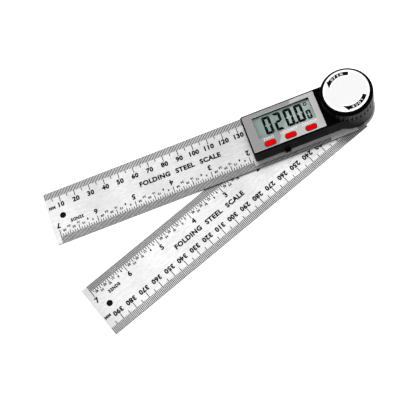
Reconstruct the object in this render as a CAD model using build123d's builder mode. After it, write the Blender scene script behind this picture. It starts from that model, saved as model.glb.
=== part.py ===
from build123d import *
import os

# Digital angle ruler used as a goniometer. Millimetres.
# The origin lies on the pivot axis, in the plane of the moving ruler's underside.
# +Z runs up through the lock knob, and the fixed ruler runs towards -X.
# The moving ruler lies under the fixed one, turned REST_ANGLE about the pivot at rest.

# Rulers
ARM_LENGTH = 200.0  # pivot axis to ruler tip, which is also the scale's zero mark
ARM_WIDTH = 36.0
RULER_THICK = 1.2
RULER_GAP = 0.2
REST_ANGLE = 20.0
TIP_CORNER = 0.8
FIXED_END_R = 15.4
MOVING_END_R = 16.6
HANG_HOLE_R = 2.0
HANG_HOLE_X = -191.0

# Levels, bottom to top
FIXED_Z = RULER_THICK + RULER_GAP
SHELL_Z = FIXED_Z + RULER_THICK
SHELL_HEIGHT = 11.6
SHELL_TOP = SHELL_Z + SHELL_HEIGHT
PLATE_THICK = 0.8
PLATE_Z = SHELL_TOP - PLATE_THICK
CEILING_Z = PLATE_Z - 1.8
BOARD_Z = 7.4
BOARD_THICK = 1.0
BOARD_TOP = BOARD_Z + BOARD_THICK
LCD_THICK = 1.4
LCD_Z = CEILING_Z - LCD_THICK

# Housing
SHELL_LEFT = -65.7
SHELL_HALF = 13.7
SHELL_WALL = 1.4
SHELL_CORNER = 1.4
SHELL_BLEND = 5.0
SHELL_END_R = 15.85
SHELL_EDGE_ROUND = 1.0
PLATE_LEFT = -64.75
PLATE_RIGHT = -17.9
PLATE_HALF = 12.7
PLATE_CORNER = 0.6
WINDOW_LEFT = -59.1
WINDOW_RIGHT = -21.9
WINDOW_LOW = -4.9
WINDOW_HIGH = 10.1
PANE_THICK = 0.8
PANE_MARGIN = 0.8
LCD_MARGIN = 1.3
FIT = 0.1  # clearance between a moving piece and the opening it works in
RUNNING = 0.05  # radial clearance of a turning fit

# Housing screws, up through the fixed ruler into the shell's bosses
SCREW_R = 1.0
SCREW_HEAD_R = 1.85
SCREW_LENGTH = 7.0
SCREW_BOSS_R = 1.9
BOSS_CLEARANCE = 0.5  # between a boss and the notch that the board has round it
SCREW_PLACES = [
    (-62.6, 10.6),
    (-62.6, -10.6),
    (-18.6, 10.6),
    (-18.6, -10.6),
    (9.88, 8.29),
    (9.88, -8.29),
]

# Board screws, up through the main board into short bosses under the shell's roof
BOARD_SCREW_R = 0.7
BOARD_SCREW_HEAD_R = 1.4
BOARD_SCREW_HEAD = 0.5
BOARD_BOSS_R = 1.5
BOARD_SCREW_PLACES = [(-62.4, 5.0), (-62.4, -5.0), (-18.4, 5.0), (-18.4, -5.0)]

# Pivot
STUD_R = 3.0
STUD_HEAD_R = 5.0
STUD_FLAT = 2.2  # distance of the key flat from the axis
STUD_FLAT_Z = 8.7
STUD_TOP = 21.9
FIXED_BORE_R = 9.95
HUB_FLANGE_R = FIXED_BORE_R - RUNNING
HUB_FLANGE_TOP = 2.5
HUB_NECK_R = 6.0
HUB_SPIGOT_R = 4.5
ROTOR_R = 10.8
ROTOR_Z = 6.3
ROTOR_THICK = 0.8
RIVET_R = 0.8
RIVET_HEAD_R = 1.4
RIVET_CIRCLE_R = 7.6
RIVET_COUNT = 3
WASHER_OUTER_R = 15.0
WASHER_INNER_R = 10.2
WASHER_THICK = 0.15

# Lock knob
KNOB_R = 16.2
KNOB_Z = SHELL_TOP + 0.2
KNOB_TOP = 23.6
KNOB_SHOULDER_Z = 21.7
KNOB_RIM_R = 14.9
KNOB_RIBS = 36
KNOB_GROOVE_R = 0.9
KNOB_GROOVE_DEPTH = 0.45
KNOB_LIP = 0.8
KNOB_EDGE_ROUND = 0.3
KNOB_POCKET_R = 6.5
DISC_R = 14.05
DISC_THICK = 0.3
INSERT_R = 5.5
INSERT_TOP = 20.5
THRUST_R = 7.0
THRUST_Z = SHELL_TOP + 0.1
THRUST_THICK = 0.6
RETAINER_Z = 21.0
RETAINER_THICK = 0.6
RETAINER_R = 5.2
RETAINER_GROOVE_R = 2.4

# Buttons
BUTTON_PLACES = {"zero_button": -53.6, "hold_button": -40.3, "power_button": -27.0}
BUTTON_Y = -10.0
BUTTON_LENGTH = 6.6
BUTTON_WIDTH = 3.1
BUTTON_CORNER = 1.3
BUTTON_PROUD = 0.5
BUTTON_FLANGE = 0.6
BUTTON_STEM_R = 1.2
BUTTON_STEM_Z = 9.55
SWITCH_SIZE = 3.8
SWITCH_BODY = 0.5
SWITCH_DOME_R = 1.3
SWITCH_DOME = 0.2

# Battery drawer
TRAY_X = -44.7
TRAY_WIDTH = 22.6
TRAY_Z = SHELL_Z + FIT
TRAY_FLOOR = 0.65
TRAY_SIDE_TOP = 6.0
TRAY_FRONT_TOP = 7.2
TRAY_FRONT_THICK = 1.2
TRAY_BACK = 5.0
TRAY_RAIL = 1.1
TRAY_RAIL_BACK = 11.0
TRAY_TAB_WIDTH = 3.6
TRAY_TAB_REACH = 1.5
TRAY_TAB_HEIGHT = 1.9
THUMB_HOLE_R = 6.0
CELL_R = 10.0
CELL_THICK = 3.2
CELL_Y = -2.4
CELL_POCKET_R = 10.05
CONTACT_GAP = 0.1
CONTACT_THICK = 0.3
CONTACT_WIDTH = 3.0

fixed_plane = Plane.XY
moving_plane = Plane.XY.rotated((0, 0, REST_ANGLE))


def write(builder, name):
    """Label one finished sub-part and write it as its own STEP file."""
    builder.part.label = name
    export_step(builder.part, f"parts/{name}.step")


def ruler_outline(end_radius):
    """Straight blade from the pivot to the tip, with a round end behind the pivot."""
    with Locations((-ARM_LENGTH / 2, 0)):
        Rectangle(ARM_LENGTH, ARM_WIDTH)
    tips = vertices().sort_by(Axis.X)[:2]
    fillet(tips, TIP_CORNER)
    Circle(end_radius)
    with Locations((HANG_HOLE_X, 0)):
        Circle(HANG_HOLE_R, mode=Mode.SUBTRACT)


def housing_outline():
    """Long box with a round pivot end and a concave blend where the two meet."""
    with Locations((SHELL_LEFT / 2, 0)):
        Rectangle(-SHELL_LEFT, 2 * SHELL_HALF)
    Circle(SHELL_END_R)
    necks = vertices().filter_by_position(Axis.X, -12, -4)
    fillet(necks, SHELL_BLEND)
    corners = vertices().sort_by(Axis.X)[:2]
    fillet(corners, SHELL_CORNER)


def box_between(left, right, low, high):
    """Rectangle given by its four sides, in the current sketch."""
    with Locations(((left + right) / 2, (low + high) / 2)):
        Rectangle(right - left, high - low)


def keyed_circle(radius, flat):
    """Circle with one flat facing +X, the shape that stops a washer turning."""
    Circle(radius)
    with Locations((flat + radius, 0)):
        Rectangle(2 * radius, 2 * radius, mode=Mode.SUBTRACT)


os.makedirs("parts", exist_ok=True)

# ---------------------------------------------------------------- rulers
with BuildPart() as moving_ruler:
    with BuildSketch(moving_plane):
        ruler_outline(MOVING_END_R)
    extrude(amount=RULER_THICK)
    # countersunk seat of the pivot stud's head
    with BuildSketch(moving_plane):
        Circle(STUD_HEAD_R + 0.08)
    with BuildSketch(moving_plane.offset(RULER_THICK)):
        Circle(STUD_R + 0.08)
    loft(ruled=True, mode=Mode.SUBTRACT)
    # countersunk seats of the hub rivets
    with BuildSketch(moving_plane):
        with PolarLocations(RIVET_CIRCLE_R, RIVET_COUNT):
            Circle(RIVET_R)
    extrude(amount=RULER_THICK, mode=Mode.SUBTRACT)
    with BuildSketch(moving_plane):
        with PolarLocations(RIVET_CIRCLE_R, RIVET_COUNT):
            Circle(RIVET_HEAD_R)
    extrude(amount=RIVET_HEAD_R - RIVET_R, taper=45, mode=Mode.SUBTRACT)
write(moving_ruler, "moving_ruler")

with BuildPart() as fixed_ruler:
    with BuildSketch(fixed_plane.offset(FIXED_Z)):
        ruler_outline(FIXED_END_R)
        Circle(FIXED_BORE_R, mode=Mode.SUBTRACT)
    extrude(amount=RULER_THICK)
    with BuildSketch(fixed_plane.offset(FIXED_Z)):
        with Locations(*SCREW_PLACES):
            Circle(SCREW_R + FIT)
    extrude(amount=RULER_THICK, mode=Mode.SUBTRACT)
    with BuildSketch(fixed_plane.offset(FIXED_Z)):
        with Locations(*SCREW_PLACES):
            Circle(SCREW_HEAD_R + FIT)
    extrude(amount=SCREW_HEAD_R - SCREW_R, taper=45, mode=Mode.SUBTRACT)
write(fixed_ruler, "fixed_ruler")

with BuildPart() as friction_washer:
    with BuildSketch(fixed_plane.offset(FIXED_Z)):
        Circle(WASHER_OUTER_R)
        Circle(WASHER_INNER_R, mode=Mode.SUBTRACT)
    extrude(amount=-WASHER_THICK)
write(friction_washer, "friction_washer")

# ---------------------------------------------------------------- pivot
with BuildPart() as rotor_hub:
    with BuildSketch(moving_plane.offset(RULER_THICK)):
        Circle(HUB_FLANGE_R)
        with PolarLocations(RIVET_CIRCLE_R, RIVET_COUNT):
            Circle(RIVET_R, mode=Mode.SUBTRACT)
    extrude(amount=HUB_FLANGE_TOP - RULER_THICK)
    with BuildSketch(moving_plane.offset(HUB_FLANGE_TOP)):
        Circle(HUB_NECK_R)
    extrude(amount=ROTOR_Z - HUB_FLANGE_TOP)
    with BuildSketch(moving_plane.offset(ROTOR_Z)):
        Circle(HUB_SPIGOT_R)
    extrude(amount=ROTOR_THICK)
    with BuildSketch(moving_plane.offset(RULER_THICK)):
        Circle(STUD_R + RUNNING)
    extrude(amount=ROTOR_Z + ROTOR_THICK - RULER_THICK, mode=Mode.SUBTRACT)
write(rotor_hub, "rotor_hub")

with BuildPart() as hub_rivets:
    with BuildSketch(moving_plane):
        with PolarLocations(RIVET_CIRCLE_R, RIVET_COUNT):
            Circle(RIVET_R)
    extrude(amount=HUB_FLANGE_TOP)
    with BuildSketch(moving_plane):
        with PolarLocations(RIVET_CIRCLE_R, RIVET_COUNT):
            Circle(RIVET_HEAD_R)
    extrude(amount=RIVET_HEAD_R - RIVET_R, taper=45)
write(hub_rivets, "hub_rivets")

with BuildPart() as encoder_rotor:
    with BuildSketch(moving_plane.offset(ROTOR_Z)):
        Circle(ROTOR_R)
        Circle(HUB_SPIGOT_R, mode=Mode.SUBTRACT)
    extrude(amount=ROTOR_THICK)
write(encoder_rotor, "encoder_rotor")

with BuildPart() as pivot_stud:
    with BuildSketch(fixed_plane):
        Circle(STUD_HEAD_R)
    with BuildSketch(fixed_plane.offset(RULER_THICK)):
        Circle(STUD_R)
    loft(ruled=True)
    with BuildSketch(fixed_plane.offset(RULER_THICK)):
        Circle(STUD_R)
    extrude(amount=STUD_FLAT_Z - RULER_THICK)
    with BuildSketch(fixed_plane.offset(STUD_FLAT_Z)):
        keyed_circle(STUD_R, STUD_FLAT)
    extrude(amount=STUD_TOP - STUD_FLAT_Z)
    with BuildSketch(fixed_plane.offset(RETAINER_Z)):
        Circle(STUD_R + 1)
        Circle(RETAINER_GROOVE_R, mode=Mode.SUBTRACT)
    extrude(amount=RETAINER_THICK, mode=Mode.SUBTRACT)
    # tool slot across the stud's end
    with BuildSketch(fixed_plane.offset(STUD_TOP)):
        Rectangle(3 * STUD_R, 0.5)
    extrude(amount=-0.2, mode=Mode.SUBTRACT)
write(pivot_stud, "pivot_stud")

# ---------------------------------------------------------------- housing
with BuildPart() as housing_shell:
    with BuildSketch(fixed_plane.offset(SHELL_Z)):
        housing_outline()
    extrude(amount=SHELL_HEIGHT)
    fillet(edges().group_by(Axis.Z)[-1], SHELL_EDGE_ROUND)
    # hollow under the roof
    with BuildSketch(fixed_plane.offset(SHELL_Z)):
        housing_outline()
        offset(amount=-SHELL_WALL)
    extrude(amount=CEILING_Z - SHELL_Z, mode=Mode.SUBTRACT)
    # bosses for the housing screws, for the board screws and round the stud
    with BuildSketch(fixed_plane.offset(SHELL_Z)):
        with Locations(*SCREW_PLACES):
            Circle(SCREW_BOSS_R)
    extrude(amount=CEILING_Z - SHELL_Z)
    with BuildSketch(fixed_plane.offset(BOARD_TOP)):
        with Locations(*BOARD_SCREW_PLACES):
            Circle(BOARD_BOSS_R)
    extrude(amount=CEILING_Z - BOARD_TOP)
    with BuildSketch(fixed_plane.offset(STUD_FLAT_Z)):
        Circle(HUB_NECK_R)
    extrude(amount=CEILING_Z - STUD_FLAT_Z)
    # screw pilots
    with BuildSketch(fixed_plane.offset(SHELL_Z)):
        with Locations(*SCREW_PLACES):
            Circle(SCREW_R)
    extrude(amount=SCREW_LENGTH, mode=Mode.SUBTRACT)
    with BuildSketch(fixed_plane.offset(BOARD_TOP)):
        with Locations(*BOARD_SCREW_PLACES):
            Circle(BOARD_SCREW_R)
    extrude(amount=CEILING_Z - BOARD_TOP, mode=Mode.SUBTRACT)
    # keyed hole for the stud
    with BuildSketch(fixed_plane.offset(STUD_FLAT_Z)):
        keyed_circle(STUD_R + RUNNING, STUD_FLAT + RUNNING)
    extrude(amount=SHELL_TOP - STUD_FLAT_Z, mode=Mode.SUBTRACT)
    # faceplate recess, seat of the window pane, and the window itself
    with BuildSketch(fixed_plane.offset(PLATE_Z)):
        box_between(PLATE_LEFT - FIT, PLATE_RIGHT + FIT, -PLATE_HALF - FIT, PLATE_HALF + FIT)
        fillet(vertices(), PLATE_CORNER)
    extrude(amount=PLATE_THICK, mode=Mode.SUBTRACT)
    with BuildSketch(fixed_plane.offset(PLATE_Z)):
        box_between(
            WINDOW_LEFT - PANE_MARGIN,
            WINDOW_RIGHT + PANE_MARGIN,
            WINDOW_LOW - PANE_MARGIN,
            WINDOW_HIGH + PANE_MARGIN,
        )
    extrude(amount=-PANE_THICK, mode=Mode.SUBTRACT)
    with BuildSketch(fixed_plane.offset(PLATE_Z)):
        box_between(WINDOW_LEFT, WINDOW_RIGHT, WINDOW_LOW, WINDOW_HIGH)
    extrude(amount=CEILING_Z - PLATE_Z, mode=Mode.SUBTRACT)
    # button holes
    with BuildSketch(fixed_plane.offset(PLATE_Z)):
        with Locations(*[(x, BUTTON_Y) for x in BUTTON_PLACES.values()]):
            RectangleRounded(BUTTON_LENGTH + 2 * FIT, BUTTON_WIDTH + 2 * FIT, BUTTON_CORNER)
    extrude(amount=CEILING_Z - PLATE_Z, mode=Mode.SUBTRACT)
    # slot for the battery drawer, in the foot of the -Y wall
    with BuildSketch(fixed_plane.offset(SHELL_Z)):
        box_between(
            TRAY_X - TRAY_WIDTH / 2 - FIT,
            TRAY_X + TRAY_WIDTH / 2 + FIT,
            -SHELL_HALF - 1,
            -SHELL_HALF + SHELL_WALL + FIT,
        )
    extrude(amount=TRAY_FRONT_TOP + FIT - SHELL_Z, mode=Mode.SUBTRACT)
write(housing_shell, "housing_shell")

with BuildPart() as housing_screws:
    with BuildSketch(fixed_plane.offset(FIXED_Z)):
        with Locations(*SCREW_PLACES):
            Circle(SCREW_HEAD_R)
    extrude(amount=SCREW_HEAD_R - SCREW_R, taper=45)
    with BuildSketch(fixed_plane.offset(FIXED_Z)):
        with Locations(*SCREW_PLACES):
            Circle(SCREW_R)
    extrude(amount=SCREW_LENGTH)
    # cross recess in each head
    with BuildSketch(fixed_plane.offset(FIXED_Z)):
        with Locations(*SCREW_PLACES):
            Rectangle(1.8, 0.4)
            Rectangle(0.4, 1.8)
    extrude(amount=0.5, mode=Mode.SUBTRACT)
write(housing_screws, "housing_screws")

with BuildPart() as faceplate:
    with BuildSketch(fixed_plane.offset(PLATE_Z)):
        box_between(PLATE_LEFT, PLATE_RIGHT, -PLATE_HALF, PLATE_HALF)
        fillet(vertices(), PLATE_CORNER)
        with Locations(*[(x, BUTTON_Y) for x in BUTTON_PLACES.values()]):
            RectangleRounded(
                BUTTON_LENGTH + 2 * FIT,
                BUTTON_WIDTH + 2 * FIT,
                BUTTON_CORNER,
                mode=Mode.SUBTRACT,
            )
    extrude(amount=PLATE_THICK)
    chamfer(faces().sort_by(Axis.Z)[-1].outer_wire().edges(), 0.18)
    with BuildSketch(fixed_plane.offset(PLATE_Z)):
        box_between(WINDOW_LEFT, WINDOW_RIGHT, WINDOW_LOW, WINDOW_HIGH)
    extrude(amount=PLATE_THICK, mode=Mode.SUBTRACT)
write(faceplate, "faceplate")

# ---------------------------------------------------------------- display
with BuildPart() as display_window:
    with BuildSketch(fixed_plane.offset(PLATE_Z)):
        box_between(
            WINDOW_LEFT - PANE_MARGIN,
            WINDOW_RIGHT + PANE_MARGIN,
            WINDOW_LOW - PANE_MARGIN,
            WINDOW_HIGH + PANE_MARGIN,
        )
    extrude(amount=-PANE_THICK)
write(display_window, "display_window")

with BuildPart() as lcd_panel:
    with BuildSketch(fixed_plane.offset(LCD_Z)):
        box_between(
            WINDOW_LEFT - LCD_MARGIN,
            WINDOW_RIGHT + LCD_MARGIN,
            WINDOW_LOW - LCD_MARGIN,
            WINDOW_HIGH + LCD_MARGIN,
        )
    extrude(amount=LCD_THICK)
write(lcd_panel, "lcd_panel")

with BuildPart() as lcd_holder:
    with BuildSketch(fixed_plane.offset(BOARD_TOP)):
        box_between(
            WINDOW_LEFT - LCD_MARGIN,
            WINDOW_RIGHT + LCD_MARGIN,
            WINDOW_LOW - LCD_MARGIN,
            WINDOW_HIGH + LCD_MARGIN,
        )
        offset(amount=-1.0, mode=Mode.SUBTRACT)
    extrude(amount=LCD_Z - BOARD_TOP)
write(lcd_holder, "lcd_holder")

with BuildPart() as zebra_strip:
    with BuildSketch(fixed_plane.offset(BOARD_TOP)):
        box_between(WINDOW_LEFT + 1, WINDOW_RIGHT - 1, WINDOW_HIGH - 1.6, WINDOW_HIGH + 0.2)
    extrude(amount=LCD_Z - BOARD_TOP)
write(zebra_strip, "zebra_strip")

# ---------------------------------------------------------------- electronics
with BuildPart() as main_board:
    with BuildSketch(fixed_plane.offset(BOARD_Z)):
        box_between(SHELL_LEFT + SHELL_WALL + 0.2, -8, -SHELL_HALF + 1.8, SHELL_HALF - 1.8)
        Circle(ROTOR_R)
        Circle(STUD_R + 0.6, mode=Mode.SUBTRACT)
        with Locations(*SCREW_PLACES):
            Circle(SCREW_BOSS_R + BOSS_CLEARANCE, mode=Mode.SUBTRACT)
        with Locations(*BOARD_SCREW_PLACES):
            Circle(BOARD_SCREW_R, mode=Mode.SUBTRACT)
    extrude(amount=BOARD_THICK)
write(main_board, "main_board")

with BuildPart() as board_screws:
    with BuildSketch(fixed_plane.offset(BOARD_Z)):
        with Locations(*BOARD_SCREW_PLACES):
            Circle(BOARD_SCREW_HEAD_R)
    extrude(amount=-BOARD_SCREW_HEAD)
    with BuildSketch(fixed_plane.offset(BOARD_Z)):
        with Locations(*BOARD_SCREW_PLACES):
            Circle(BOARD_SCREW_R)
    extrude(amount=CEILING_Z - BOARD_Z - 0.4)
write(board_screws, "board_screws")

with BuildPart() as controller_chip:
    with BuildSketch(fixed_plane.offset(BOARD_Z)):
        with Locations((-26.5, 2.0)):
            Rectangle(7.0, 7.0)
    extrude(amount=-1.0)
write(controller_chip, "controller_chip")

with BuildPart() as board_components:
    with BuildSketch(fixed_plane.offset(BOARD_Z)):
        with Locations((-26.5, -6.0)):
            RectangleRounded(6.0, 2.0, 0.95)
    extrude(amount=-1.6)
    with BuildSketch(fixed_plane.offset(BOARD_Z)):
        with GridLocations(0, 2.4, 1, 4):
            with Locations((-20.4, 0)):
                Rectangle(1.6, 0.8)
    extrude(amount=-0.6)
write(board_components, "board_components")

with BuildPart() as tact_switches:
    with BuildSketch(fixed_plane.offset(BOARD_TOP)):
        with Locations(*[(x, BUTTON_Y) for x in BUTTON_PLACES.values()]):
            Rectangle(SWITCH_SIZE, SWITCH_SIZE)
    extrude(amount=SWITCH_BODY)
    with BuildSketch(fixed_plane.offset(BOARD_TOP + SWITCH_BODY)):
        with Locations(*[(x, BUTTON_Y) for x in BUTTON_PLACES.values()]):
            Circle(SWITCH_DOME_R)
    extrude(amount=SWITCH_DOME)
write(tact_switches, "tact_switches")

CELL_Z = TRAY_Z + TRAY_FLOOR
with BuildPart() as cell_contact_negative:
    with BuildSketch(fixed_plane.offset(CELL_Z + CELL_THICK + CONTACT_GAP)):
        box_between(TRAY_X - CONTACT_WIDTH / 2, TRAY_X + CONTACT_WIDTH / 2, CELL_Y - 3, CELL_Y + 7)
    extrude(amount=CONTACT_THICK)
    with BuildSketch(fixed_plane.offset(CELL_Z + CELL_THICK + CONTACT_GAP)):
        box_between(TRAY_X - CONTACT_WIDTH / 2, TRAY_X + CONTACT_WIDTH / 2, CELL_Y + 5, CELL_Y + 7)
    extrude(amount=BOARD_Z - CELL_Z - CELL_THICK - CONTACT_GAP)
write(cell_contact_negative, "cell_contact_negative")

with BuildPart() as cell_contact_positive:
    back_of_cell = CELL_Y + CELL_R + CONTACT_GAP
    with BuildSketch(fixed_plane.offset(BOARD_Z)):
        box_between(
            TRAY_X - CONTACT_WIDTH / 2,
            TRAY_X + CONTACT_WIDTH / 2,
            back_of_cell,
            back_of_cell + CONTACT_THICK,
        )
    extrude(amount=CELL_Z + 0.4 - BOARD_Z)
    with BuildSketch(fixed_plane.offset(BOARD_Z)):
        box_between(
            TRAY_X - CONTACT_WIDTH / 2,
            TRAY_X + CONTACT_WIDTH / 2,
            back_of_cell,
            back_of_cell + 2,
        )
    extrude(amount=-CONTACT_THICK)
write(cell_contact_positive, "cell_contact_positive")

# ---------------------------------------------------------------- buttons
for button_name, button_x in BUTTON_PLACES.items():
    with BuildPart() as button:
        with BuildSketch(Plane((button_x, BUTTON_Y, CEILING_Z - FIT))):
            RectangleRounded(BUTTON_LENGTH, BUTTON_WIDTH, BUTTON_CORNER)
        extrude(amount=SHELL_TOP + BUTTON_PROUD - CEILING_Z + FIT)
        fillet(edges().group_by(Axis.Z)[-1], 0.35)
        with BuildSketch(Plane((button_x, BUTTON_Y, CEILING_Z - FIT))):
            RectangleRounded(BUTTON_LENGTH + 1.2, BUTTON_WIDTH + 1.2, BUTTON_CORNER)
        extrude(amount=-BUTTON_FLANGE)
        with BuildSketch(Plane((button_x, BUTTON_Y, BUTTON_STEM_Z))):
            Circle(BUTTON_STEM_R)
        extrude(amount=CEILING_Z - FIT - BUTTON_FLANGE - BUTTON_STEM_Z)
    write(button, button_name)

# ---------------------------------------------------------------- battery drawer
with BuildPart() as battery_tray:
    tray_left = TRAY_X - TRAY_WIDTH / 2
    tray_right = TRAY_X + TRAY_WIDTH / 2
    tray_front = -SHELL_HALF + TRAY_FRONT_THICK
    with BuildSketch(fixed_plane.offset(TRAY_Z)):
        box_between(tray_left, tray_right, tray_front, TRAY_BACK)
    extrude(amount=TRAY_SIDE_TOP - TRAY_Z)
    with BuildSketch(fixed_plane.offset(TRAY_Z)):
        box_between(tray_left, tray_left + TRAY_RAIL, TRAY_BACK, TRAY_RAIL_BACK)
        box_between(tray_right - TRAY_RAIL, tray_right, TRAY_BACK, TRAY_RAIL_BACK)
    extrude(amount=TRAY_SIDE_TOP - TRAY_Z)
    with BuildSketch(fixed_plane.offset(TRAY_Z)):
        box_between(tray_left, tray_right, -SHELL_HALF, tray_front)
    extrude(amount=TRAY_FRONT_TOP - TRAY_Z)
    with BuildSketch(fixed_plane.offset(TRAY_Z)):
        box_between(
            TRAY_X - TRAY_TAB_WIDTH / 2,
            TRAY_X + TRAY_TAB_WIDTH / 2,
            -SHELL_HALF - TRAY_TAB_REACH,
            -SHELL_HALF,
        )
    extrude(amount=TRAY_TAB_HEIGHT)
    # round pocket for the cell, and a thumb hole through the floor to push it out
    with BuildSketch(fixed_plane.offset(CELL_Z)):
        with Locations((TRAY_X, CELL_Y)):
            Circle(CELL_POCKET_R)
    extrude(amount=TRAY_FRONT_TOP - CELL_Z, mode=Mode.SUBTRACT)
    with BuildSketch(fixed_plane.offset(TRAY_Z)):
        with Locations((TRAY_X, CELL_Y)):
            Circle(THUMB_HOLE_R)
    extrude(amount=TRAY_FLOOR, mode=Mode.SUBTRACT)
write(battery_tray, "battery_tray")

with BuildPart() as coin_cell:
    with BuildSketch(Plane((TRAY_X, CELL_Y, CELL_Z))):
        Circle(CELL_R)
    extrude(amount=CELL_THICK)
    chamfer(edges().group_by(Axis.Z)[0], 0.3)
    with BuildSketch(Plane((TRAY_X, CELL_Y, CELL_Z + CELL_THICK))):
        Circle(CELL_R + 1)
        Circle(CELL_R - 1.1, mode=Mode.SUBTRACT)
    extrude(amount=-0.3, mode=Mode.SUBTRACT)
write(coin_cell, "coin_cell")

# ---------------------------------------------------------------- lock knob
with BuildPart() as thrust_washer:
    with BuildSketch(fixed_plane.offset(THRUST_Z)):
        Circle(THRUST_R)
        with BuildSketch(mode=Mode.PRIVATE) as washer_hole:
            keyed_circle(STUD_R + FIT, STUD_FLAT + FIT)
        add(washer_hole.sketch, mode=Mode.SUBTRACT)
    extrude(amount=THRUST_THICK)
write(thrust_washer, "thrust_washer")

with BuildPart() as knob_wheel:
    with BuildSketch(fixed_plane.offset(KNOB_Z)):
        Circle(KNOB_R)
    extrude(amount=KNOB_SHOULDER_Z - KNOB_Z)
    # sloping shoulder up to the printed disc
    with BuildSketch(fixed_plane.offset(KNOB_SHOULDER_Z)):
        Circle(KNOB_R)
    with BuildSketch(fixed_plane.offset(KNOB_TOP)):
        Circle(KNOB_RIM_R)
    loft()
    fillet(edges().filter_by(GeomType.CIRCLE), KNOB_EDGE_ROUND)
    # ribbed grip between a smooth lip and the shoulder
    with BuildSketch(fixed_plane.offset(KNOB_Z + KNOB_LIP)):
        with PolarLocations(KNOB_R - KNOB_GROOVE_DEPTH + KNOB_GROOVE_R, KNOB_RIBS):
            Circle(KNOB_GROOVE_R)
    extrude(amount=KNOB_SHOULDER_Z - KNOB_Z - 2 * KNOB_LIP, mode=Mode.SUBTRACT)
    # recess for the thrust washer, seat of the insert, and the pocket round the retainer
    with BuildSketch(fixed_plane.offset(KNOB_Z)):
        Circle(THRUST_R + 0.15)
    extrude(amount=THRUST_Z + THRUST_THICK + 0.1 - KNOB_Z, mode=Mode.SUBTRACT)
    with BuildSketch(fixed_plane.offset(KNOB_Z)):
        Circle(INSERT_R)
    extrude(amount=INSERT_TOP - KNOB_Z, mode=Mode.SUBTRACT)
    with BuildSketch(fixed_plane.offset(INSERT_TOP)):
        Circle(KNOB_POCKET_R)
    extrude(amount=KNOB_TOP - INSERT_TOP, mode=Mode.SUBTRACT)
write(knob_wheel, "knob_wheel")

with BuildPart() as knob_insert:
    with BuildSketch(fixed_plane.offset(THRUST_Z + THRUST_THICK + 0.1)):
        Circle(INSERT_R)
        Circle(STUD_R + RUNNING, mode=Mode.SUBTRACT)
    extrude(amount=INSERT_TOP - THRUST_Z - THRUST_THICK - 0.1)
write(knob_insert, "knob_insert")

with BuildPart() as knob_disc:
    with BuildSketch(fixed_plane.offset(KNOB_TOP)):
        Circle(DISC_R)
    extrude(amount=DISC_THICK)
    chamfer(edges().group_by(Axis.Z)[-1], 0.1)
write(knob_disc, "knob_disc")

with BuildPart() as knob_retainer:
    with BuildSketch(fixed_plane.offset(RETAINER_Z)):
        Circle(RETAINER_R)
        Circle(RETAINER_GROOVE_R, mode=Mode.SUBTRACT)
        with Locations((-RETAINER_R, 0)):
            Rectangle(2 * RETAINER_R, 2.6, mode=Mode.SUBTRACT)
    extrude(amount=RETAINER_THICK)
write(knob_retainer, "knob_retainer")
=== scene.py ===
import math

import bmesh
import bpy
from mathutils import Matrix, Vector


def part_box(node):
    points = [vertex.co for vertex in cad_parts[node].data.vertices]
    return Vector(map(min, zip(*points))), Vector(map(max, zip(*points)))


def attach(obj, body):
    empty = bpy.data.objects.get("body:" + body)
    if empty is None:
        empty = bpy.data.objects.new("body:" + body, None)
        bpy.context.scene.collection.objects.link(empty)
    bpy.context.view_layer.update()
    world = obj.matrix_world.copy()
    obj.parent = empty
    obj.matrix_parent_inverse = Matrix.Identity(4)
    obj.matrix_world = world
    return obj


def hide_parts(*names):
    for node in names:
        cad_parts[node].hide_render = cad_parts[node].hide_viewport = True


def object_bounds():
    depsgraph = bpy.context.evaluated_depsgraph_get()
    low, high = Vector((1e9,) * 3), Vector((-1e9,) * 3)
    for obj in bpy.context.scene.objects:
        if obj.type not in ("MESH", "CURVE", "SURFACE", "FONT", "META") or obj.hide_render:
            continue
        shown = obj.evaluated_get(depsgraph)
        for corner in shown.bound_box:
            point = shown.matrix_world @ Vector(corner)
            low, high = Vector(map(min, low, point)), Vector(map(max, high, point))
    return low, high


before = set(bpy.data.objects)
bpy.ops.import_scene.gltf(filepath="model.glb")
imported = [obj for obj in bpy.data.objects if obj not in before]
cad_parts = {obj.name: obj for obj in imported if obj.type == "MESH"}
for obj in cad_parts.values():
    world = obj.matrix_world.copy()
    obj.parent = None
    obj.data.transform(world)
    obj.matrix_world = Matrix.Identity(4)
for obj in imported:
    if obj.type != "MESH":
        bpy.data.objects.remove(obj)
cad_low, cad_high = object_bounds()

# The finish of a digital angle ruler: etched scales, display, buttons, printed knob.
# Lengths in this script are in metres. MM turns a length in millimetres into metres.
MM = 0.001
INCH = 25.4 * MM

fixed_low, fixed_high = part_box("fixed_ruler")
moving_low, moving_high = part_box("moving_ruler")
shell_low, shell_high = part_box("housing_shell")
plate_low, plate_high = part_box("faceplate")
_, panel_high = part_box("lcd_panel")
disc_low, disc_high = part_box("knob_disc")

ARM_LENGTH = -fixed_low.x
HALF_WIDTH = fixed_high.y
REST_TURN = math.radians(20)  # angle between the two rulers at rest
HANG_HOLE_X = -191 * MM
HANG_HOLE_R = 2 * MM
HOLE_SHADE_GAP = 0.02 * MM  # between a painted-shade disc and the wall of its hole
HOLE_SHADE_BOTTOM = 0.1 * MM  # heights above the ruler's underside
HOLE_SHADE_TOP = 0.7 * MM

INK_THICK = 0.012 * MM
LINE_WIDTH = 0.48 * MM


# ------------------------------------------------------------------ camera
CAMERA_AZIMUTH = math.radians(7.01)
CAMERA_ELEVATION = math.radians(67.68)
CAMERA_ROLL = math.radians(-27.39)
CAMERA_DISTANCE = 0.66191
CAMERA_TARGET = Vector((-0.10356, -0.03071, 0.0026))
SENSOR_WIDTH = 36.0
CAMERA_LENS = 93.14


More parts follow.
